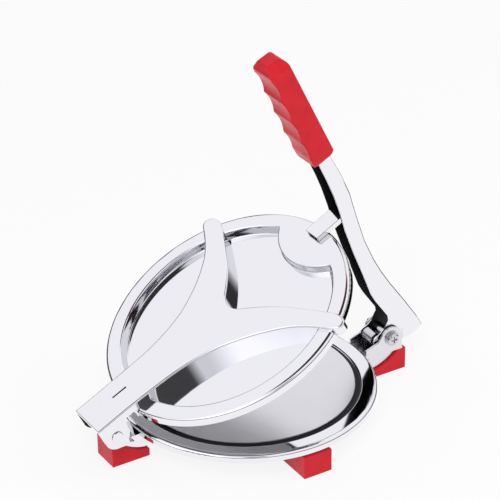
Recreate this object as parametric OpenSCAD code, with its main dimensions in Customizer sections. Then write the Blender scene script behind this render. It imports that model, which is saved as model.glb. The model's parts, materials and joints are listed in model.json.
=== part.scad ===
// Hand press that flattens dough balls into tortillas: pressed stainless steel, red plastic grip and feet.
// Millimetres, +Z up. Origin: on the table, below the middle of the whole press, feet standing on z = 0.
// The lid hinge is at -X, the lever pivot at +X, and the press is symmetric about y = 0.
// Pieces are drawn from the centre of the round base, and placed() then moves them to the origin.
// Every part is drawn in its resting place: lid partly open, lever upright beside it.

/* [Base] */
// outer radius of the base dish
base_radius = 85; // [84:0.5:87]
// thickness of the pressed steel sheet
sheet = 1.2; // [1:0.1:1.3]
// height of the base rim above the table
rim_height = 22.5; // [22.3:0.1:22.7]
// ring of the base left free around the lower press plate, from its edge to the rim
plate_margin = 14.6; // [14:0.2:19]
// thickness of the lower press plate
plate_thickness = 1.8; // [1.6:0.1:2.2]

/* [Feet] */
// width of each foot
foot_width = 20.2; // [19.6:0.2:22]
// length of each foot towards the centre
foot_length = 26.6; // [24:0.5:28]
// height of a foot at its thin inner end
foot_toe = 5.5; // [5:0.25:7]

/* [Lid] */
// angle at which the lid stands open
lid_angle = 27.8; // [20:0.5:30]
// outer radius of the lid
lid_radius = 84.7; // [84:0.1:85.2]
// gap left between the two press plates when shut
press_gap = 0.4; // [0.4:0.1:0.8]
// depth of the dished middle of the lid
recess_depth = 5.9; // [5.5:0.1:6.3]
// width of the catch tab on the lid
tab_width = 13.4; // [12.4:0.2:13.4]

/* [Lever] */
// half width of the lever channel over its sides
lever_half = 8; // [8:0.1:8.6]
// sheet thickness of the lever channel
lever_sheet = 1; // [0.8:0.05:1]
// radius of the pressing roller
roller_radius = 4.2; // [3.6:0.1:4.3]
// width of the plastic grip
grip_width = 22; // [21:0.5:25]
// length of the plastic grip
grip_length = 82; // [80:0.5:90]
// depth of the finger hollows in the grip
finger_depth = 1.5; // [1:0.1:2]
// spacing of the finger hollows
finger_pitch = 17; // [16:0.25:17.5]

/* [Hinge and pivot] */
// radius of the hinge pin
pin_radius = 3; // [2.6:0.1:3.4]
// radius of the pivot bolt
bolt_radius = 2.5; // [2:0.1:2.6]
// running clearance on a radius
run_fit = 0.05; // [0.03:0.01:0.08]

/* [Hidden] */
$fn = 64;
e = 0.01;

// distance from the centre of the base to the middle of the whole press
middle_x = 8.1;

// heights of the base
skirt_z = 17.3;
leg_sheet = 1.5;
foot_height = skirt_z - leg_sheet;
floor_z = rim_height - 1.3;
bend = 2.8;
lower_top = floor_z + plate_thickness;
plate_radius = base_radius - plate_margin;
groove_r = base_radius - 10.7;

// heights of the closed lid
upper_sheet = 1.2;
upper_z = lower_top + press_gap;
lid_floor = upper_z + upper_sheet + sheet;
lid_top = lid_floor + recess_depth;
lid_skirt = lid_top - 6;
recess_r = lid_radius - 11.4;
recess_floor_r = recess_r - 1.8;
lobe_x = lid_radius + 7.6;
lobe_r = 39;

// hinge
hinge_x = -102.75;
hinge_z = 25.6;
ear_half = 15.2;
ear_sheet = 1.2;
base_ear = 13.6;
base_ear_sheet = 1.4;

// pivot
pivot_x = 106.6;
pivot_z = 26.2;
fork_in = lever_half + 0.6;
fork_sheet = 1.4;
fork_out = fork_in + fork_sheet;
lever_in = lever_half - lever_sheet;

// roller, placed from the pivot
roller_dx = -9.2;
roller_dz = -0.4;
axle_radius = 1.3;
nose_radius = 3.7;
tab_sheet = 1.1;
tab_top = lid_top + 3.4;
tab_start = lid_radius - 9.9;
tab_end = pivot_x - 10.3;
roller_half = tab_width / 2 - tab_sheet - 0.4;

// feet
foot_wall = 1.8;
foot_floor = 3;
front_foot = 85.6;
hinge_foot = 104.2;
lever_foot = 118;
outer_wall = 2.6;
leg_half = foot_width / 2 - foot_wall;

frame_sheet = 1.5;
frame_wall = 1.2;

steel = [0.86, 0.86, 0.88];
plastic = [0.84, 0.16, 0.2];

// ---------- shared shapes ----------

// upright sheet drawn in x and z, between two y values
module side(y0, y1) {
    translate([0, y1, 0]) rotate([90, 0, 0]) linear_extrude(y1 - y0) children();
}

// the same sheet on both sides of the middle
module both(y0, y1) {
    side(y0, y1) children();
    side(-y1, -y0) children();
}

// moves a part from the centre of the base to its place from the origin
module placed() {
    translate([-middle_x, 0, 0]) children();
}

// moves a closed lid part to where it rests, open
module opened() {
    placed() translate([hinge_x, 0, hinge_z]) rotate([0, -lid_angle, 0])
        translate([-hinge_x, 0, -hinge_z]) children();
}

// half section of a dish edge: skirt, rounded bend and flat flange
module edge_section(ro, zb, zt, ri, t) {
    translate([ro - t, zb]) square([t, zt - bend - zb]);
    intersection() {
        translate([ro - bend, zt - bend]) difference() {
            circle(r = bend);
            circle(r = bend - t);
        }
        translate([ro - bend, zt - bend]) square(bend + 1);
    }
    translate([ri, zt - t]) square([ro - bend - ri, t]);
}

// one round of corner cutting, to soften a closed outline
function soften(p) = [for (i = [0 : len(p) - 1], k = [0.25, 0.75]) p[i] * (1 - k) + p[(i + 1) % len(p)] * k];

// direction square to the outline at a corner, pointing inwards for a counterclockwise outline
function unit(v) = v / norm(v);
function inward(p, i) = let (a = unit(p[(i + 1) % len(p)] - p[(i + len(p) - 1) % len(p)])) [-a[1], a[0]];
function inset(p, d) = [for (i = [0 : len(p) - 1]) p[i] + inward(p, i) * d];

// ---------- base ----------

module base_dish() {
    color(steel) placed() rotate_extrude($fn = 128) {
        edge_section(base_radius, skirt_z, rim_height, groove_r, sheet);
        polygon([[groove_r, rim_height], [groove_r - 0.5, floor_z], [groove_r - 0.5, floor_z - sheet],
            [groove_r + 1, floor_z - sheet], [groove_r + 1.2, rim_height - sheet],
                [groove_r + 1.2, rim_height]]);
        translate([0, floor_z - sheet]) square([groove_r - 0.5, sheet]);
    }
}

module lower_plate() {
    color(steel) placed() translate([0, 0, floor_z])
        cylinder(r = plate_radius, h = plate_thickness, $fn = 128);
}

// side profile of a leg strip: u counts outwards from the middle of the press
module leg_strip(end) {
    polygon([[46, floor_z - sheet], [64, floor_z - sheet], [68, skirt_z], [end, skirt_z],
        [end, foot_floor], [end - leg_sheet, foot_floor], [end - leg_sheet, skirt_z - leg_sheet],
        [67.3, skirt_z - leg_sheet], [63.3, floor_z - sheet - leg_sheet],
            [46, floor_z - sheet - leg_sheet]]);
}

module leg(end) {
    side(-leg_half, leg_half) leg_strip(end);
}

// side cheeks of a leg that reach down into the foot
module cheeks(end) {
    both(leg_half - leg_sheet, leg_half) polygon([[end - 1, foot_floor], [end - 1, foot_height + 0.5],
        [end - 25, foot_height + 0.5], [end - 25, 10], [end - 19, foot_floor]]);
}

module front_leg() {
    color(steel) placed() rotate([0, 0, -90]) leg(front_foot - outer_wall);
}

module rear_leg() {
    color(steel) placed() rotate([0, 0, 90]) leg(front_foot - outer_wall);
}

module hinge_bracket() {
    color(steel) placed() rotate([0, 0, 180]) difference() {
        union() {
            leg(hinge_foot - outer_wall);
            cheeks(hinge_foot - outer_wall);
            translate([90, -base_ear, foot_height]) cube([103.5 - 90, base_ear * 2, leg_sheet]);
            both(base_ear - base_ear_sheet, base_ear) {
                polygon([[90, foot_height], [103.5, foot_height], [108.6, hinge_z - 4.6], [109.2, hinge_z],
                    [-hinge_x - 6, hinge_z + 2.6], [93, skirt_z], [90, skirt_z]]);
                translate([-hinge_x, hinge_z]) circle(r = 6.5);
            }
        }
        side(-20, 20) translate([-hinge_x, hinge_z]) circle(r = pin_radius);
    }
}

module lever_bracket() {
    color(steel) placed() difference() {
        union() {
            leg(lever_foot - outer_wall);
            cheeks(lever_foot - outer_wall);
            translate([86.5, -fork_out, foot_height])
                cube([lever_foot - outer_wall - 86.5, fork_out * 2, leg_sheet]);
            both(fork_in, fork_out) {
                difference() {
                    polygon([[86.5, foot_height], [lever_foot - outer_wall, foot_height],
                        [pivot_x + 8.2, pivot_z - 3], [pivot_x, pivot_z], [98, 29], [94.2, 24.9],
                            [86.5, 22.3]]);
                    translate([93.6, 29.9]) circle(r = 5);
                }
                translate([pivot_x, pivot_z]) circle(r = 8.2);
            }
        }
        side(-20, 20) translate([pivot_x, pivot_z]) circle(r = bolt_radius);
    }
}

// wedge-shaped boot, hollow on top, outer end at u = end
module foot(end) {
    w = foot_width / 2;
    color(plastic) difference() {
        side(-w, w) difference() {
            translate([end - foot_length, 0]) square([foot_length, foot_height]);
            translate([end - foot_length - 3.1, foot_toe + 32]) circle(r = 32.15, $fn = 128);
        }
        side(-leg_half, leg_half) translate([end - foot_length + 1.6, foot_floor])
            square([foot_length - 1.6 - outer_wall, foot_height]);
    }
}

module foot_hinge_side() {
    placed() rotate([0, 0, 180]) foot(hinge_foot);
}

module foot_lever_side() {
    placed() foot(lever_foot);
}

module foot_front() {
    placed() rotate([0, 0, -90]) foot(front_foot);
}

module foot_rear() {
    placed() rotate([0, 0, 90]) foot(front_foot);
}

// ---------- fastenings ----------

module hinge_pin() {
    color(steel) placed() translate([hinge_x, 0, hinge_z]) rotate([90, 0, 0]) {
        cylinder(r = pin_radius, h = 2 * ear_half + 1.6, center = true);
        for (s = [0, 180]) rotate([s, 0, 0]) translate([0, 0, ear_half + 0.2])
            cylinder(r1 = pin_radius + 0.9, r2 = pin_radius + 0.5, h = 0.9);
    }
}

module pivot_bolt() {
    color(steel) placed() translate([pivot_x, 0, pivot_z]) rotate([90, 0, 0]) difference() {
        union() {
            translate([0, 0, -fork_out - 5.6]) cylinder(r = bolt_radius, h = 2 * fork_out + 6.5);
            translate([0, 0, fork_out + 0.9]) cylinder(r = 4.3, h = 1.5);
            translate([0, 0, fork_out + 2.4]) cylinder(r1 = 4.3, r2 = 3.2, h = 1);
        }
        translate([-2.3, -0.5, fork_out + 1.9]) cube([4.6, 1, 3]);
        translate([-0.5, -2.3, fork_out + 1.9]) cube([1, 4.6, 3]);
    }
}

module pivot_washers() {
    color(steel) placed() translate([pivot_x, 0, pivot_z]) rotate([90, 0, 0]) difference() {
        union() {
            translate([0, 0, fork_out]) cylinder(r = 5.2, h = 0.9);
            translate([0, 0, -fork_out - 0.9]) cylinder(r = 5.2, h = 0.9);
        }
        translate([0, 0, -20]) cylinder(r = bolt_radius, h = 40);
    }
}

module pivot_nut() {
    color(steel) placed() translate([pivot_x, fork_out + 0.9, pivot_z]) rotate([-90, 0, 0]) difference() {
        cylinder(r = 4.6, h = 4, $fn = 6);
        translate([0, 0, -1]) cylinder(r = bolt_radius, h = 6);
    }
}

// ---------- lid, drawn shut and then opened ----------

module lid_dish() {
    color(steel) opened() difference() {
        union() {
            rotate_extrude($fn = 128) {
                edge_section(lid_radius, lid_skirt, lid_top, recess_r, sheet);
                polygon([[recess_r, lid_top], [recess_floor_r, lid_floor],
                    [recess_floor_r, lid_floor - sheet],
                    [recess_floor_r + 0.9, lid_floor - sheet], [recess_r + 1.1, lid_top - sheet],
                        [recess_r + 1.1, lid_top]]);
                translate([0, lid_floor - sheet]) square([recess_floor_r, sheet]);
            }
            intersection() {
                translate([0, 0, lid_floor - sheet])
                    cylinder(r = recess_r + 0.2, h = recess_depth + sheet, $fn = 128);
                translate([lobe_x, 0, 0]) cylinder(r = lobe_r, h = lid_top, $fn = 128);
                translate([0, 0, lid_floor - sheet])
                    cylinder(r1 = recess_floor_r + 0.2, r2 = recess_r + 0.2,
                        h = recess_depth + sheet, $fn = 128);
            }
        }
        intersection() {
            translate([0, 0, lid_floor - sheet - 1])
                cylinder(r = recess_floor_r - 0.9, h = recess_depth + 1, $fn = 128);
            translate([lobe_x, 0, 0]) cylinder(r = lobe_r - sheet, h = lid_top - sheet, $fn = 128);
        }
    }
}

module upper_plate() {
    color(steel) opened() translate([0, 0, upper_z])
        cylinder(r = recess_floor_r - 0.1, h = upper_sheet, $fn = 128);
}

// outline of one half of the three-armed frame, from the hinge end round to the fork between the arms
half_frame = [[-95, 15.2], [-88, 15.2], [-70, 15.5], [-52, 16.4], [-38, 18.6], [-22, 23.2],
    [-11, 28.8], [1, 36.4],
    [12, 45.2], [20, 53], [27, 63], [31.5, 71], [34.8, 78], [38.5, 81], [42.5, 79.8], [45, 76], [45, 71],
    [43.2, 65.5], [38.3, 56], [32.5, 44.5], [25.8, 32], [19.5, 22.8], [13.5, 15.2], [7.5, 8.6],
        [4.6, 3.4]];
hn = len(half_frame);
mirrored = [for (i = [hn - 1 : -1 : 0]) [half_frame[i][0], -half_frame[i][1]]];
// counterclockwise outline: back along the far side to the hinge, forward along the near side
frame_line = soften([for (i = [0 : 2 * hn - 1]) let (q = concat(half_frame, mirrored)) q[2 * hn - 1 - i]]);
frame_inner = inset(frame_line, frame_wall + 0.1);

// top of the frame seen from the side, lowered by d
module frame_rise(d) {
    polygon([[-111.2, 0], [-111.2, lid_top + 6.9 - d], [-85, lid_top + 6.3 - d], [-50, lid_top + 4.9 - d],
        [0, lid_top + 3.4 - d], [28, lid_top + 2.9 - d], [40, lid_top + 1.6 - d + 0.4],
            [46.5, lid_top + 1.6 - d], [46.5, 0]]);
}

// everything under the top face of the dish, kept clear by the frame
module under_lid() {
    rotate_extrude($fn = 128) polygon([[0, 0], [0, lid_floor], [recess_floor_r - 0.4, lid_floor],
        [recess_r - 0.3, lid_top],
        [lid_radius + 0.4, lid_top], [lid_radius + 0.4, lid_top - 4.5], [130, lid_top - 4.5], [130, 0]]);
}

module lid_ear() {
    translate([hinge_x, hinge_z]) circle(r = 8.8);
    polygon([[-111.2, lid_top + 6.9], [-92.1, lid_top + 6.45], [-92.1, lid_top + 3],
        [hinge_x + 8.75, hinge_z], [hinge_x - 8.75, hinge_z]]);
}

module lid_frame() {
    color(steel) opened() difference() {
        union() {
            difference() {
                intersection() {
                    linear_extrude(60) polygon(frame_line);
                    side(-90, 90) frame_rise(0);
                }
                under_lid();
                translate([-130, -30, 0]) cube([130 - lid_radius, 60, lid_top + 1]);
                intersection() {
                    translate([0, 0, -1]) linear_extrude(60) polygon(frame_inner);
                    side(-90, 90) frame_rise(frame_sheet);
                }
            }
            intersection() {
                translate([-111.2, -ear_half, 20]) cube([111.2 - 92.1, 2 * ear_half, 40]);
                side(-90, 90) difference() {
                    frame_rise(0);
                    frame_rise(frame_sheet);
                }
            }
            both(ear_half - ear_sheet, ear_half) lid_ear();
            translate([-83.5, 2.6, lid_top + 4.8]) rotate([0, 1.6, 0]) translate([-5.5, -1, 0])
                cube([11, 2, 2]);
        }
        side(-20, 20) translate([hinge_x, hinge_z]) circle(r = pin_radius + run_fit);
    }
}

module lid_tab() {
    w = tab_width / 2;
    color(steel) opened() {
        translate([tab_start, -w, tab_top - tab_sheet]) cube([tab_end - tab_start, tab_width, tab_sheet]);
        both(w - tab_sheet, w) polygon([[tab_start, lid_top], [lid_radius + 0.3, lid_top],
            [lid_radius + 0.3, lid_top - 0.5],
            [tab_end, lid_top - 0.5], [tab_end, tab_top - e], [tab_start, tab_top - e]]);
    }
}

// ---------- lever ----------

// back edge of the lever from the tail up to the end inside the grip
back_line = [[132.5, 28.1], [127.4, 37], [118.5, 50.1], [106.5, 67], [99.4, 78], [93.5, 88.6], [86, 105.1],
    [79.6, 124.5], [74.3, 142.4], [67.6, 157.5], [59.5, 172.6], [53.5, 183], [29, 238]];
// front edge from the end inside the grip down to the hub
front_line = [[21, 234.5], [47.2, 176], [51.6, 166.9], [57.4, 154.5], [62.2, 143], [67, 129],
    [70.6, 116.4], [77.6, 97.4],
    [85.3, 78.6], [91.2, 63.2], [94.6, 57.2], [100.5, 48.7], [104.6, 42.8], [105.2, 39], [102, 33.2]];
tail_line = [[pivot_x, pivot_z - 8.35], [114.9, 21.4], [122.4, 22.6], [128.8, 25.2]];

module lever_face() {
    polygon(concat(back_line, front_line, tail_line));
    translate([pivot_x, pivot_z]) circle(r = 8.4);
    translate([pivot_x + roller_dx, pivot_z + roller_dz]) circle(r = nose_radius);
    polygon([[pivot_x + roller_dx - 0.3, pivot_z + roller_dz + nose_radius - 0.02],
        [pivot_x + roller_dx - 0.3, pivot_z + roller_dz - nose_radius + 0.02],
        [pivot_x - 1, pivot_z - 8.3], [pivot_x - 1, pivot_z + 8.3]]);
}

// the back edge moved inwards by the sheet thickness, and everything in front of it
back_in = [for (i = [0 : len(back_line) - 1])
    let (a = back_line[max(i - 1, 0)], b = back_line[min(i + 1, len(back_line) - 1)], u = unit(b - a))
    back_line[i] + [-u[1], u[0]] * lever_sheet + (i == 0 ? -4 * u
        : i == len(back_line) - 1 ? 4 * u : [0, 0])];

// the hub is pressed in by a small step, in front of this line
hub_step = 0.35;
hub_line = [[104.4, 44.4], [110.5, 36.6], [116.6, 29.6], [116.6, 10], [80, 10], [80, 52], [98.6, 52.2]];

module lever_channel() {
    color(steel) placed() bent_channel();
}

module bent_channel() {
    difference() {
        side(-lever_half, lever_half) lever_face();
        side(-lever_in, lever_in) polygon(concat(back_in, [[10, 240], [40, 150], [60, 10], [120, 8]]));
        both(lever_half - hub_step, lever_half + 1) polygon(hub_line);
        side(-20, 20) {
            translate([pivot_x, pivot_z]) circle(r = bolt_radius + run_fit);
            translate([pivot_x + roller_dx, pivot_z + roller_dz]) circle(r = axle_radius);
        }
    }
}

module pivot_sleeve() {
    color(steel) placed() side(-lever_in, lever_in) translate([pivot_x, pivot_z]) difference() {
        circle(r = 4);
        circle(r = bolt_radius + run_fit);
    }
}

module roller_axle() {
    color(steel) placed() side(-lever_half, lever_half)
        translate([pivot_x + roller_dx, pivot_z + roller_dz]) circle(r = axle_radius);
}

module lever_roller() {
    color(steel) placed() translate([pivot_x + roller_dx, 0, pivot_z + roller_dz])
        rotate([90, 0, 0]) difference() {
        union() {
            cylinder(r = roller_radius, h = 2 * roller_half, center = true);
            cylinder(r = 2.4, h = 2 * lever_in - 0.4, center = true);
        }
        cylinder(r = axle_radius + run_fit, h = 40, center = true);
    }
}

// grip in its own directions: s runs up the handle, t towards the back
grip_x = 52.5;
grip_z = 172;
grip_lean = 24.1;

module grip_face() {
    difference() {
        polygon([[-6.8, -0.6], [-3.5, -1], [6.6, 0], [9.4, 2.8], [9.1, 12], [8.8, 22],
            [7.1, grip_length - 4.5],
            [4.6, grip_length - 0.6], [-5.2, grip_length - 0.6], [-8, grip_length - 6], [-8.2, 60],
                [-8, 20], [-7.4, 8]]);
        for (k = [0 : 3]) translate([-8.2 - 24 + finger_depth, 13.5 + k * finger_pitch])
            circle(r = 24, $fn = 96);
    }
}

module grip_front() {
    w = grip_width / 2;
    polygon([[-w, 2], [-w + 2, -2], [w - 2, -2], [w, 2], [w, grip_length - 6],
        [w - 5.5, grip_length], [-w + 5.5, grip_length], [-w, grip_length - 6]]);
}

module grip() {
    color(plastic) placed() difference() {
        translate([grip_x, 0, grip_z]) rotate([0, -grip_lean, 0]) intersection() {
            side(-20, 20) grip_face();
            rotate([90, 0, 90]) translate([0, 0, -20]) linear_extrude(40) grip_front();
        }
        bent_channel();
    }
}

base_dish();
lower_plate();
hinge_bracket();
lever_bracket();
front_leg();
rear_leg();
foot_hinge_side();
foot_lever_side();
foot_front();
foot_rear();
hinge_pin();
pivot_bolt();
pivot_washers();
pivot_nut();
lid_dish();
upper_plate();
lid_frame();
lid_tab();
lever_channel();
pivot_sleeve();
roller_axle();
lever_roller();
grip();
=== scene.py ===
# %% [markdown]
# # A hand press for tortillas
# The press is a round steel base on four red feet, a hinged steel lid, and a tall lever with a
# red grip. The solid model already has every piece at its real size and place, so this lesson
# gives the pieces their soft edges, their small details and their finishes, and then lights them.
# It begins with the solid model: its box is kept, because nothing may grow past it.

# %% Load the solid model
import json
import math

import bmesh
import bpy
from mathutils import Matrix, Vector


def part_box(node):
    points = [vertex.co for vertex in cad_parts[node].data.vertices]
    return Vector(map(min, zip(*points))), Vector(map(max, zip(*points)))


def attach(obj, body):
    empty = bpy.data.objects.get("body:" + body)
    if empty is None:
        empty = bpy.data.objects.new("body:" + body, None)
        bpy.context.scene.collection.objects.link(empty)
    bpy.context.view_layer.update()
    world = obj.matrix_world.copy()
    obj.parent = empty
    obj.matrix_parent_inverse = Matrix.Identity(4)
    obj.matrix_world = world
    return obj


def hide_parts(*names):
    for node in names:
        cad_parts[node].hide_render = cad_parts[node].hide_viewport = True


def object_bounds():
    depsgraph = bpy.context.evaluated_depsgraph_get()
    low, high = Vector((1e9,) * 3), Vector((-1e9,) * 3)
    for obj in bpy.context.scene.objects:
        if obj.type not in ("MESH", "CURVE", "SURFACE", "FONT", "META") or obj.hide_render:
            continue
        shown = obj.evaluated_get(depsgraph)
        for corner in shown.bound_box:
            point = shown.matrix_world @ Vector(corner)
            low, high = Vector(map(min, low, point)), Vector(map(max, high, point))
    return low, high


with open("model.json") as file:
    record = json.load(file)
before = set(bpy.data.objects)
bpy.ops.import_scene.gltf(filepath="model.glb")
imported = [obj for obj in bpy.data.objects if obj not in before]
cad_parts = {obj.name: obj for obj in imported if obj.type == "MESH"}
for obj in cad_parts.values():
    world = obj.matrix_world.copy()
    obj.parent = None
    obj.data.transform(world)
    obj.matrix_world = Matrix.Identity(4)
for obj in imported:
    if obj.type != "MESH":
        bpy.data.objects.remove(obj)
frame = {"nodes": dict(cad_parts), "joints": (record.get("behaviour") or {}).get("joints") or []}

MM = 0.001
for spare in ("Cube", "Light", "Camera"):
    if spare in bpy.data.objects:
        bpy.data.objects.remove(bpy.data.objects[spare])
bpy.context.view_layer.update()
solid_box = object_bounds()
solid_size = [round(x / MM, 1) for x in solid_box[1] - solid_box[0]]
print("solid pieces:", len(frame["nodes"]), "size in mm:", solid_size)

# %% [markdown]
# ## The camera
# The photograph is taken from the front left, about 29 degrees above the table, with a long lens
# that keeps the circles of the press calm. The camera looks at a point above the middle of the
# base, and a slight roll puts the press on the picture as it was photographed.

# %% Place the camera
view_side = math.radians(-31.22)
view_height = math.radians(29.12)
view_roll = math.radians(-0.78)
camera_distance = 1592.2 * MM
aim_height = 60 * MM
aim_shift = (2.98 * MM, 52.6 * MM)

to_camera = Vector((math.sin(view_side) * math.cos(view_height),
                    -math.cos(view_side) * math.cos(view_height), math.sin(view_height)))
level_right = Vector((math.cos(view_side), math.sin(view_side), 0))
level_up = to_camera.cross(level_right)
right = level_right * math.cos(view_roll) + level_up * math.sin(view_roll)
up = level_up * math.cos(view_roll) - level_right * math.sin(view_roll)
base_low, base_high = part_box("base_dish")
base_middle = Vector(((base_low.x + base_high.x) / 2, 0, 0))
aim = base_middle + Vector((0, 0, aim_height)) + right * aim_shift[0] + up * aim_shift[1]

bpy.ops.object.camera_add()
camera = bpy.context.object
camera.name = "camera"
camera.data.sensor_width = 36
camera.data.lens = 180
camera_turn = Matrix((right, up, to_camera)).transposed().to_4x4()
camera.matrix_world = Matrix.Translation(aim + to_camera * camera_distance) @ camera_turn
bpy.context.scene.camera = camera
print("camera at", [round(x, 3) for x in camera.location])

# %% [markdown]
# ## Helpers for shaping
# A pressed sheet never has a knife edge: every rim and fold is a little round, and that roundness
# is what catches the light. A merged copy of a solid piece can be opened in edit mode, its sharp
# edges picked by their place and by the faces beside them, and rounded by the Bevel modifier.
# Bevel weights let one piece have a wide round on its folds and a narrow one on its cut edges.

# %% Copy a piece and round its edges
WELD = 0.002 * MM          # corners closer than this are one corner
FLAT = math.radians(0.5)   # faces that turn by less than this are one face
SHARP = math.radians(25)   # only edges that turn by more than this are rounded
SMOOTH = math.radians(35)  # shading stays sharp where faces turn by more than this
WIDEST = 10                # a bevel weight of 1 stands for a round of this many mm


def select_only(obj):
    """Makes obj the one selected and active object."""
    bpy.ops.object.select_all(action="DESELECT")
    obj.select_set(True)
    bpy.context.view_layer.objects.active = obj


def merged_copy(node, name):
    """A copy of a solid piece, welded into one closed skin with flat faces joined up."""
    piece = bpy.data.objects.new(name, frame["nodes"][node].data.copy())
    bpy.context.scene.collection.objects.link(piece)
    piece.data.materials.clear()
    select_only(piece)
    bpy.ops.mesh.customdata_custom_splitnormals_clear()
    bpy.ops.object.mode_set(mode="EDIT")
    bpy.ops.mesh.select_all(action="SELECT")
    bpy.ops.mesh.remove_doubles(threshold=WELD)
    bpy.ops.mesh.dissolve_limited(angle_limit=FLAT)
    bpy.ops.object.mode_set(mode="OBJECT")
    return piece


def round_edges(piece, radius, rings=3):
    """Rounds each sharp edge by radius(edge, middle, normal, normal) in mm, if that is above 0."""
    shape = bmesh.new()
    shape.from_mesh(piece.data)
    weight = shape.edges.layers.float.new("bevel_weight_edge")
    widest = 0
    for edge in shape.edges:
        if edge.calc_face_angle(0) > SHARP:
            a, b = (face.normal for face in edge.link_faces)
            middle = (edge.verts[0].co + edge.verts[1].co) / 2
            edge[weight] = radius(edge, middle, a, b) / WIDEST
            widest = max(widest, edge[weight] * WIDEST)
    shape.to_mesh(piece.data)
    shape.free()
    select_only(piece)
    bevel = piece.modifiers.new("rounding", "BEVEL")
    bevel.limit_method = "WEIGHT"
    bevel.width = WIDEST * MM
    bevel.segments = rings
    bevel.use_clamp_overlap = False
    bpy.ops.object.modifier_apply(modifier=bevel.name)
    print(piece.name, "rounded up to", round(widest, 2), "mm,", len(piece.data.polygons), "faces")


def even(size):
    """The same round in mm on every sharp edge."""
    return lambda edge, middle, a, b: size


def finish_piece(piece, node, body, material):
    """Smooths the shading, gives the material and ties the piece to the body it moves with."""
    select_only(piece)
    bpy.ops.object.shade_smooth_by_angle(angle=SMOOTH)
    flats = piece.modifiers.new("flat faces stay flat", "WEIGHTED_NORMAL")
    flats.keep_sharp = True
    bpy.ops.object.modifier_apply(modifier=flats.name)
    piece.data.materials.clear()
    piece.data.materials.append(material)
    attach(piece, body)
    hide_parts(node)

# %% [markdown]
# ## Helpers for finishes
# Colours are written as they look on a screen and turned to linear light once. One function adds
# a node with its settings and its links, so that each material reads as a short list.

# %% Colour and node helpers
def colour(hex_code):
    """The linear RGBA of a screen colour such as #E6E6EA."""
    parts = [int(hex_code[i:i + 2], 16) / 255 for i in (1, 3, 5)]
    return [p / 12.92 if p <= 0.04045 else ((p + 0.055) / 1.055) ** 2.4 for p in parts] + [1]


def add(tree, kind, inputs=(), links=(), **options):
    """Adds one node: its input values by name or number, links from other sockets, options."""
    node = tree.nodes.new(kind)
    for key, value in options.items():
        setattr(node, key, value)
    for key, value in dict(inputs).items():
        node.inputs[key].default_value = value
    for key, socket in dict(links).items():
        tree.links.new(socket, node.inputs[key])
    return node


def noise(tree, place, scale, detail, roughness):
    """The grey value of a noise pattern with that many waves in a metre."""
    settings = {"Scale": scale, "Detail": detail, "Roughness": roughness}
    return add(tree, "ShaderNodeTexNoise", settings, {"Vector": place}).outputs[0]


def spread(tree, value, start, end, low, high):
    """Turns values from start to end into values from low to high."""
    settings = {"From Min": start, "From Max": end, "To Min": low, "To Max": high}
    return add(tree, "ShaderNodeMapRange", settings, {"Value": value}).outputs[0]


def combine(tree, operation, a, b):
    """One operation on two grey values, such as their product or the greater one."""
    return add(tree, "ShaderNodeMath", {}, {0: a, 1: b}, operation=operation).outputs[0]


def blank(name):
    """A new material with an empty node tree, and the tree."""
    material = bpy.data.materials.new(name)
    material.use_nodes = True
    material.node_tree.nodes.clear()
    return material, material.node_tree

# %% [markdown]
# ## Polished stainless steel
# The sheets are 18/8 stainless steel, pressed and then buffed to a mirror. It is a metal, so the
# base colour is its reflection: a pale, faintly violet grey. Buffing leaves fine lines about half
# a millimetre apart, and pressing leaves the sheet slightly wavy, which makes reflections flow.
# Handling leaves soft patches that are a little less clear. The press plate is ground rather than
# buffed, the turned pieces are plated, and a very dark steel paints the shade in the insides, so
# one function makes all four from their tint, their roughness and their waviness.

# %% Make the steels
BUFFING = (60, 60, 1900)    # waves in a metre: lines half a millimetre apart, long when level
LINE_DEPTH = 0.0006 * MM
LINE_SHARE = 0.35           # how much the lines add to the patches in the roughness
PATCHES = 26                # waves in a metre: handled patches about 40 mm across
SHEET_WAVES = 20            # waves in a metre: the pressed sheet's waves are 50 mm long


def polished_steel(name, tint, clear, hazy, wave):
    """Steel sheet: its colour, its lowest and highest roughness, and its waviness in mm."""
    material, tree = blank(name)
    place = add(tree, "ShaderNodeTexCoord").outputs["Object"]
    stretched = add(tree, "ShaderNodeMapping", {"Scale": BUFFING}, {"Vector": place}).outputs[0]
    patches = noise(tree, place, PATCHES, 3, 0.55)
    lines = noise(tree, stretched, 1, 2, 0.6)
    mixed = add(tree, "ShaderNodeMath", {1: LINE_SHARE}, {0: lines, 2: patches},
                operation="MULTIPLY_ADD")
    rough = spread(tree, mixed.outputs[0], 0.4, 1.0, clear, hazy)
    waves = noise(tree, place, SHEET_WAVES, 1, 0.4)
    bent = add(tree, "ShaderNodeBump", {"Strength": 1, "Distance": wave * MM}, {"Height": waves})
    scored = add(tree, "ShaderNodeBump", {"Strength": 1, "Distance": LINE_DEPTH},
                 {"Height": lines, "Normal": bent.outputs[0]})
    metal = add(tree, "ShaderNodeBsdfPrincipled", {"Base Color": colour(tint), "Metallic": 1},
                {"Roughness": rough, "Normal": scored.outputs[0]})
    add(tree, "ShaderNodeOutputMaterial", links={"Surface": metal.outputs[0]})
    return material


steel = polished_steel("polished stainless steel", "#DCDCE0", 0.03, 0.08, 0.03)
plate_steel = polished_steel("satin-ground press plate", "#D0D0D4", 0.2, 0.27, 0.008)
pin_steel = polished_steel("bright plated turned steel", "#C4C4C8", 0.12, 0.22, 0.005)
# a very dark, rough steel that paints the shade inside the lever's channel, the hinge end and the
# groove
painted_shade_steel = polished_steel("dark steel for painted shade", "#3A3A3E", 0.45, 0.6, 0.02)
print("metals:", [metal.name for metal in (steel, plate_steel, pin_steel, painted_shade_steel)])

# %% [markdown]
# ## Red moulded plastic
# The grip and the feet are injection-moulded polypropylene, coloured through. The mould's fine
# spark-eroded skin is too fine to see, and shows only as a soft gloss. A little light enters the
# plastic, so its edges look warmer than its faces.

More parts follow.
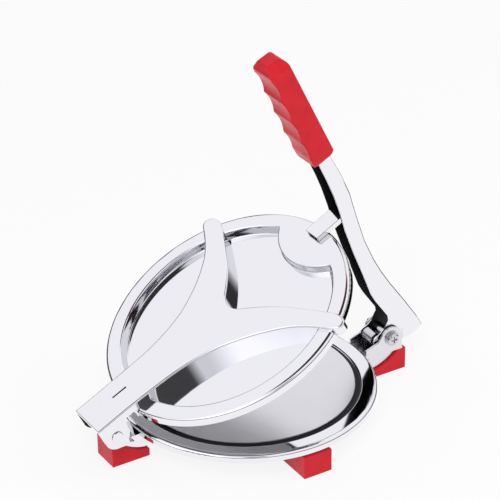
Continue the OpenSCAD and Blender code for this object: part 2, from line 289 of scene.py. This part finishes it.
# %% Make the red plastic
LIGHT_DEPTH = (2 * MM, 0.6 * MM, 0.4 * MM)  # how far red, green and blue light spread in it
SKIN_DEPTH = 0.012 * MM
SKIN = 2400                 # waves in a metre: the pits of the mould's skin, 0.4 mm apart
CLOUDS = 55                 # waves in a metre: clouds in the colour, about 18 mm across


def red_plastic(name, face, deep):
    """Moulded plastic: face is its main colour, deep its darker cloudy variation."""
    material, tree = blank(name)
    place = add(tree, "ShaderNodeTexCoord").outputs["Object"]
    clouds = noise(tree, place, CLOUDS, 3, 0.6)
    skin = noise(tree, place, SKIN, 2, 0.6)
    tone = spread(tree, clouds, 0.35, 0.7, 0, 1)
    shade = add(tree, "ShaderNodeMix", {6: colour(face), 7: colour(deep)}, {0: tone},
                data_type="RGBA")
    rough = spread(tree, clouds, 0.3, 0.7, 0.3, 0.42)
    grain = add(tree, "ShaderNodeBump", {"Strength": 1, "Distance": SKIN_DEPTH}, {"Height": skin})
    settings = {"Metallic": 0, "IOR": 1.49, "Specular IOR Level": 0.18,
                "Subsurface Weight": 0.08, "Subsurface Radius": LIGHT_DEPTH}
    plastic = add(tree, "ShaderNodeBsdfPrincipled", settings,
                  {"Base Color": shade.outputs[2], "Roughness": rough, "Normal": grain.outputs[0]})
    add(tree, "ShaderNodeOutputMaterial", links={"Surface": plastic.outputs[0]})
    return material


plastic = red_plastic("red moulded polypropylene", "#D8202F", "#C81C2A")
print("plastic:", plastic.name)

# %% [markdown]
# ## The studio
# A mirror shows its surroundings, so polished steel is lit by what stands around it: a white
# table, a pale tent with a brighter side, and dark places in it that draw the thin black lines
# along each fold: the horizon, low cards, a card behind, the open top and the opening where the
# camera stands. Two black cards lie on the table outside the picture. The sky of the scene holds
# that tent for mirror reflections only, and plain even light for the rest.

# %% Build the table, the tent and the lamps
# The tent's grey level at each height: 0 is the horizon, 1 is straight up.
TENT_LEVELS = [(0.0, 0.02), (0.15, 0.02), (0.2, 0.7), (0.3, 0.9), (0.6, 0.97), (0.85, 1.0),
               (0.89, 0.04), (1.0, 0.04)]
LOW_CARD_TURNS = (math.radians(-60), math.radians(125))  # from +X, as seen from the press
TOWARD_LOW_CARDS = [(math.cos(turn), math.sin(turn), 0) for turn in LOW_CARD_TURNS]
TOWARD_BACK_CARD = (-0.1, 0.99, 0.05)
TOWARD_OPENING = (-0.33, -0.76, 0.56)
TOWARD_BRIGHT_SIDE = (-0.93, -0.2, 0.3)
# The cosines between which each soft edge lies, from outside to inside.
LOW_CARD_EDGE = (0.8, 0.86)
BACK_CARD_EDGE = (0.85, 0.89)
OPENING_EDGE = (0.981, 0.994)
BRIGHT_SIDE_EDGE = (0.8, 0.95)
LOW_CARD_TOP = (0.2, 0.26)  # the heights between which the low cards fade out
CARD_SHADE = 0.96          # how much of the tent's light a card takes away
OPENING_SHADE = 0.95
TENT_STRENGTH = (1.2, 2.1)  # in mirrors: away from the bright side, and on it
EVEN_STRENGTH = 0.62       # the even light on everything that isn't a mirror
TABLE_STRENGTH = (1.02, 1.3)  # the table's glow to the camera and in mirrors
TABLE_GLOW_SHARE = 0.8     # the rest is lit by the lamps, and keeps the shadow
TABLE_SIZE = 8             # m
CARD_AWAY = 0.48           # m, how far the black cards lie behind the press
CARD_SIZE = (0.36, 0.8, 1)  # m, across and away; the last is its scale in height
PRESS_MIDDLE = Vector((0, 0, 0.08))


def facing(tree, heading, toward, edge, outside, inside):
    """A round patch of the sky with a soft edge, and its grey values outside and inside."""
    along = add(tree, "ShaderNodeVectorMath", {1: toward}, {0: heading}, operation="DOT_PRODUCT")
    return spread(tree, along.outputs["Value"], *edge, outside, inside)


def studio_sky():
    """White to the camera, a tent with dark cards to mirrors, and plain light to the rest."""
    world = bpy.data.worlds.new("studio tent")
    bpy.context.scene.world = world
    world.use_nodes = True
    tree = world.node_tree
    tree.nodes.clear()
    ray = add(tree, "ShaderNodeLightPath")
    to_camera_eye, to_mirror = ray.outputs["Is Camera Ray"], ray.outputs["Is Glossy Ray"]
    heading = add(tree, "ShaderNodeTexCoord").outputs["Generated"]
    height = add(tree, "ShaderNodeSeparateXYZ", links={0: heading}).outputs[2]
    tent = add(tree, "ShaderNodeValToRGB", links={0: height})
    ramp = tent.color_ramp
    while len(ramp.elements) < len(TENT_LEVELS):
        ramp.elements.new(0.5)
    for element, (at, level) in zip(ramp.elements, TENT_LEVELS):
        element.position = at
        element.color = (level, level, level * 1.02, 1)

    right_low, left_low = (facing(tree, heading, way, LOW_CARD_EDGE, 0, CARD_SHADE)
                           for way in TOWARD_LOW_CARDS)
    near_table = spread(tree, height, *LOW_CARD_TOP, 1, 0)
    both_low = combine(tree, "MAXIMUM", right_low, left_low)
    low_cards = combine(tree, "MULTIPLY", both_low, near_table)
    back_card = facing(tree, heading, TOWARD_BACK_CARD, BACK_CARD_EDGE, 0, CARD_SHADE)
    opening = facing(tree, heading, TOWARD_OPENING, OPENING_EDGE, 0, OPENING_SHADE)
    shade = combine(tree, "MAXIMUM", combine(tree, "MAXIMUM", low_cards, back_card), opening)
    seen = add(tree, "ShaderNodeMix", {7: (0.02, 0.02, 0.02, 1)}, {0: shade, 6: tent.outputs[0]},
               data_type="RGBA")

    strength = facing(tree, heading, TOWARD_BRIGHT_SIDE, BRIGHT_SIDE_EDGE, *TENT_STRENGTH)
    mirrored = add(tree, "ShaderNodeBackground", {},
                   {"Color": seen.outputs[2], "Strength": strength})
    even_light = add(tree, "ShaderNodeBackground",
                     {"Color": (1, 1, 1, 1), "Strength": EVEN_STRENGTH})
    white = add(tree, "ShaderNodeBackground", {"Color": (1, 1, 1, 1), "Strength": 1})
    for_mirrors = add(tree, "ShaderNodeMixShader",
                      links={0: to_mirror, 1: even_light.outputs[0], 2: mirrored.outputs[0]})
    for_camera = add(tree, "ShaderNodeMixShader",
                     links={0: to_camera_eye, 1: for_mirrors.outputs[0], 2: white.outputs[0]})
    add(tree, "ShaderNodeOutputWorld", links={0: for_camera.outputs[0]})


def table_top():
    """A white table that keeps a soft part of the shadow."""
    bpy.ops.object.select_all(action="DESELECT")
    bpy.ops.mesh.primitive_plane_add(size=TABLE_SIZE)
    floor = bpy.context.object
    floor.name = "table"
    material, tree = blank("white card")
    ray = add(tree, "ShaderNodeLightPath")
    to_camera_eye, to_mirror = ray.outputs["Is Camera Ray"], ray.outputs["Is Glossy Ray"]
    card = add(tree, "ShaderNodeBsdfDiffuse", {"Color": colour("#F4F4F4")})
    bright = spread(tree, to_mirror, 0, 1, *TABLE_STRENGTH)
    glow = add(tree, "ShaderNodeEmission", {"Color": (1, 1, 1, 1)}, {"Strength": bright})
    seen = add(tree, "ShaderNodeMath", {}, {0: to_camera_eye, 1: to_mirror},
               operation="ADD", use_clamp=True)
    part = add(tree, "ShaderNodeMath", {1: TABLE_GLOW_SHARE}, {0: seen.outputs[0]},
               operation="MULTIPLY")
    both = add(tree, "ShaderNodeMixShader",
               links={0: part.outputs[0], 1: card.outputs[0], 2: glow.outputs[0]})
    add(tree, "ShaderNodeOutputMaterial", links={0: both.outputs[0]})
    floor.data.materials.append(material)


def side_card(name, across):
    """A black card flat on the table, outside the picture and seen only in the steel."""
    level_away = Vector((0, 0, 1)).cross(level_right)
    middle = base_middle + level_right * across + level_away * CARD_AWAY
    middle = middle + Vector((0, 0, 1 * MM))
    bpy.ops.mesh.primitive_plane_add(size=1, location=middle, rotation=(0, 0, view_side))
    card = bpy.context.object
    card.name = name
    card.scale = CARD_SIZE
    material, tree = blank("black card")
    black = add(tree, "ShaderNodeBsdfDiffuse", {"Color": colour("#101010")})
    add(tree, "ShaderNodeOutputMaterial", links={0: black.outputs[0]})
    card.data.materials.append(material)
    card.visible_camera = card.visible_shadow = False
    card.visible_diffuse = card.visible_transmission = False


def soft_lamp(name, at, size, power):
    """A square soft lamp that points at the press and isn't seen in the steel."""
    bpy.ops.object.light_add(type="AREA", location=at)
    lamp = bpy.context.object
    lamp.name = name
    lamp.data.size = size
    lamp.data.energy = power
    lamp.visible_glossy = False
    lamp.rotation_euler = (PRESS_MIDDLE - Vector(at)).to_track_quat("-Z", "Y").to_euler()


studio_sky()
table_top()
side_card("right black card", 0.38)
side_card("left black card", -0.4)
soft_lamp("key lamp", (-0.9, -1.1, 1.5), 0.9, 14)
soft_lamp("side lamp", (1.3, -0.6, 0.9), 0.9, 5)
bpy.context.scene.view_settings.view_transform = "Standard"

# %% [markdown]
# ## The pressed lid frame
# The three-armed frame is pressed from one sheet. Its arms have a flat top that falls away over a
# round shoulder. The solid is copied and its shoulder is rounded by bevel weights: one even width
# all round, because the top is slightly folded across the arms and a changing width would tear the
# sheet at those folds. Heights are read with the lid turned shut about its hinge, where the top of
# the dish is level.

# %% Press the frame's shoulders
joints = {joint["name"]: joint for joint in frame["joints"]}
hinge = Vector(joints["lid_hinge"]["pos_m"])
lid_open = -math.radians(joints["lid_hinge"]["range_deg"][0])
shut = Matrix.Translation(hinge) @ Matrix.Rotation(lid_open, 4, "Y") @ Matrix.Translation(-hinge)
shut_turn = shut.to_3x3()
RIM_TOP = 31.7 * MM        # the top of the shut lid's rim, above which the arms rise
SHOULDER = 1.2             # mm, the round of a pressed shoulder
MARK_MIDDLE = (-91.6, 2.6)  # mm, the pressed mark on the hinge arm
MARK_HALF = (6, 1.4)       # mm, half of its length and width, and a little more


def frame_shoulder(edge, middle, a, b):
    """One even round on the outer edge of the arms' tops, and none on cut edges or the mark."""
    place = shut @ middle
    up_a, up_b = (shut_turn @ a).z, (shut_turn @ b).z
    on_mark = (abs(place.x / MM - MARK_MIDDLE[0]) < MARK_HALF[0]
               and abs(place.y / MM - MARK_MIDDLE[1]) < MARK_HALF[1])
    top_meets_wall = max(up_a, up_b) > 0.85 and abs(min(up_a, up_b, key=abs)) < 0.5
    on_top = top_meets_wall and place.z > RIM_TOP + 1 * MM
    return SHOULDER if on_top and not on_mark else 0


arms = merged_copy("lid_frame", "lid_frame_pressed")
round_edges(arms, frame_shoulder, rings=5)
finish_piece(arms, "lid_frame", "lid", steel)

# %% [markdown]
# ## The two dishes
# Base and lid are round dishes pressed from 1.2 mm sheet. The steps of the press tool leave a
# small round at the top and at the foot of every wall, and each of them shows as a fine line.
# The rim already has its bend and its cut edge in the solid, so only the steps inside it are
# rounded.

# %% Soften the steps of both dishes
INSIDE_RIM = 80   # mm from the middle
LID_STEP = 0.9    # mm, the round of a pressed step
BASE_STEP = 0.6


def dish_steps(place, size):
    """A round on the steps inside the rim, seen from above with the dish turned level by place."""
    def radius(edge, middle, a, b):
        turn = place.to_3x3()
        from_middle = (place @ middle - base_middle).xy.length / MM
        return size if max((turn @ a).z, (turn @ b).z) > 0.9 and from_middle < INSIDE_RIM else 0
    return radius


lid_dish = merged_copy("lid_dish", "lid_dish_pressed")
round_edges(lid_dish, dish_steps(shut, LID_STEP))
finish_piece(lid_dish, "lid_dish", "lid", steel)
base_dish = merged_copy("base_dish", "base_dish_pressed")
round_edges(base_dish, dish_steps(Matrix.Identity(4), BASE_STEP))
finish_piece(base_dish, "base_dish", "base", steel)

# %% [markdown]
# ## The lever
# The lever is a strip folded into a channel, so its back has two long bends, while the edges that
# face the lid are cut. The bends are rounded by a little more than the sheet's thickness, and the
# cut edges are only broken. What hides in the grip and the outline of the hub stay sharp.

# %% Fold the lever
pivot = Vector(joints["lever_pivot"]["pos_m"])
GRIP_FOOT = 200 * MM   # above this height the lever is inside the grip
HUB_TOP = 50 * MM      # below this height only the tail behind the pivot is rounded
TAIL_FOOT = 28 * MM    # below this height the bends are only broken
BEND = 1.2             # mm, the round of a bend
BROKEN = 0.22          # mm, the round of a broken edge
OUTSIDE = 7.5 * MM     # edges further from the middle than this are on the lever's outside


def channel_bends(edge, middle, a, b):
    """The outer bends run between a side and the back; everything else is a cut edge."""
    side, back = (a, b) if abs(a.y) > abs(b.y) else (b, a)
    backward = back.x + back.z
    in_hub = middle.z < HUB_TOP and (backward < 0.2 or middle.x < pivot.x + 5 * MM)
    if middle.z > GRIP_FOOT or in_hub:
        return 0
    outside = abs(middle.y) > OUTSIDE and backward > 0.2
    square = abs(side.y) > 0.95 and abs(back.y) < 0.2
    return BEND if square and outside and middle.z > TAIL_FOOT else BROKEN


lever = merged_copy("lever_channel", "lever_channel_folded")
round_edges(lever, channel_bends)
finish_piece(lever, "lever_channel", "lever", steel)

# %% [markdown]
# ## Painted shade on the insides
# The inside of the lever's channel, the inside of the frame's hinge end and the groove around the
# base's press plate lie in deep shade and look almost black between their bright edges. That shade
# is painted: those faces get a very dark, rough steel. They are picked by where they are and which
# way they face, and get a second material slot.

# %% Paint the shade on the insides
# All in mm.
IN_SIDE = 7.3              # from the middle: the lever's sides lie between 7 and 8
IN_BACK = 6.9              # from the middle: just short of the lever's sides
HINGE_END = 20             # from the hinge: past the ears and a little way into the arm
IN_EAR = 14.2              # from the middle: just past the ears' inner faces
GROOVE_FLOOR = 21.2        # above the table
GROOVE_WALL = (73.2, 74.6)  # from the base's middle: on both sides of the wall


def paint_shade_inside(piece, inside):
    """Paints shade with the dark steel on the faces for which inside(middle in mm, normal) is
    true.
    """
    piece.data.materials.append(painted_shade_steel)
    select_only(piece)
    bpy.ops.object.mode_set(mode="EDIT")
    bpy.ops.mesh.select_mode(type="FACE")
    bpy.ops.mesh.select_all(action="DESELECT")
    shape = bmesh.from_edit_mesh(piece.data)
    for face in shape.faces:
        face.select_set(inside(face.calc_center_median() / MM, face.normal))
    bmesh.update_edit_mesh(piece.data)
    piece.active_material_index = len(piece.data.materials) - 1
    bpy.ops.object.material_slot_assign()
    bpy.ops.object.mode_set(mode="OBJECT")
    print(piece.name, "faces with painted shade:", sum(f.material_index > 0 for f in piece.data.polygons))


def in_channel(middle, normal):
    """The inner faces of both sides, and the inner face of the back between them."""
    inner_side = abs(middle.y) < IN_SIDE and normal.y * middle.y < -0.5
    inner_back = abs(normal.y) < 0.4 and normal.x < -0.2 and abs(middle.y) < IN_BACK
    return inner_side or inner_back


def in_hinge_end(middle, normal):
    """What faces down or inwards between the ears, with the lid shut."""
    place = shut @ (middle * MM) / MM
    turned = shut_turn @ normal
    between_ears = place.x < hinge.x / MM + HINGE_END and abs(place.y) < IN_EAR
    return between_ears and (turned.z < -0.5 or turned.y * place.y < -0.5)


def in_groove(middle, normal):
    """The groove's floor and its outer wall."""
    from_middle = (middle * MM - base_middle).xy.length / MM
    floor = normal.z > 0.9 and abs(middle.z - GROOVE_FLOOR) < 0.3
    at_wall = GROOVE_WALL[0] < from_middle < GROOVE_WALL[1] and middle.z > 21
    wall = at_wall and abs(normal.z) < 0.8
    return floor or wall


# the insides get painted shade
paint_shade_inside(lever, in_channel)
paint_shade_inside(arms, in_hinge_end)
paint_shade_inside(base_dish, in_groove)

# %% [markdown]
# ## The grip and the feet
# Moulded plastic comes out of its tool with rounded corners. The grip gets a hand-friendly round
# of 1 mm and the feet half of that. The slot that the lever fills stays sharp.

# %% Round the plastic pieces
SLOT_SIDES = (6.8 * MM, 8.2 * MM)  # the lever's sheet lies between these distances from the middle
SLOT_WIDTH = 17 * MM               # edges across the grip that are shorter belong to the slot
SLOT_TOP = 240 * MM
GRIP_ROUND = 1                     # mm
FOOT_ROUND = 0.5


def grip_corners(edge, middle, a, b):
    """All outer edges and the ridges between the finger hollows, but not the lever's slot."""
    along = SLOT_SIDES[0] < abs(middle.y) < SLOT_SIDES[1]
    across = abs(middle.y) < 1 * MM and edge.calc_length() < SLOT_WIDTH
    return 0 if middle.z < SLOT_TOP and (along or across) else GRIP_ROUND


grip = merged_copy("grip", "grip_moulded")
round_edges(grip, grip_corners, rings=4)
finish_piece(grip, "grip", "lever", plastic)
for node in ("foot_front", "foot_rear", "foot_hinge_side", "foot_lever_side"):
    boot = merged_copy(node, node + "_moulded")
    round_edges(boot, even(FOOT_ROUND))
    finish_piece(boot, node, "base", plastic)

# %% [markdown]
# ## Small steel pieces
# Brackets, legs, tab, pin, bolt, washers, nut and roller are stamped or turned, with edges just
# broken: an even round, narrow enough for the thinnest sheet or head of each piece.

# %% Break the edges of the small pieces
small_pieces = [  # the solid, the body it rides on, its round in mm and its metal
    ("hinge_bracket", "base", 0.15, steel),
    # the lever bracket's satin plate steel is its own ground finish, and its darker tint is partly
    # painted shade for the shadow the pieces around it cast
    ("lever_bracket", "base", 0.2, plate_steel),
    ("front_leg", "base", 0.3, plate_steel),
    ("rear_leg", "base", 0.3, plate_steel),
    ("lid_tab", "lid", 0.45, steel),
    ("lower_plate", "base", 0.5, plate_steel),
    ("hinge_pin", "base", 0.3, steel),
    ("pivot_washers", "base", 0.2, pin_steel),
    ("pivot_nut", "base", 0.35, pin_steel),
    ("pivot_bolt", "base", 0.25, pin_steel),
    ("lever_roller", "roller", 0.3, pin_steel),
]
for node, body, size, metal in small_pieces:
    piece = merged_copy(node, node + "_finished")
    round_edges(piece, even(size), rings=2)
    finish_piece(piece, node, body, metal)

# %% [markdown]
# ## Pieces that keep their shape
# What stays hidden inside the others only needs its finish.

# %% Give the remaining solid pieces their finish
kept_solids = {"upper_plate": plate_steel, "pivot_sleeve": pin_steel, "roller_axle": pin_steel}
for node, metal in kept_solids.items():
    frame["nodes"][node].material_slots[0].material = metal
print("solid pieces that show:", sum(not o.hide_render for o in frame["nodes"].values()))

# %% [markdown]
# ## Update the scene
# The dressed press has to stay inside the box of the solid one.

# %% Update the scene
bpy.context.view_layer.update()
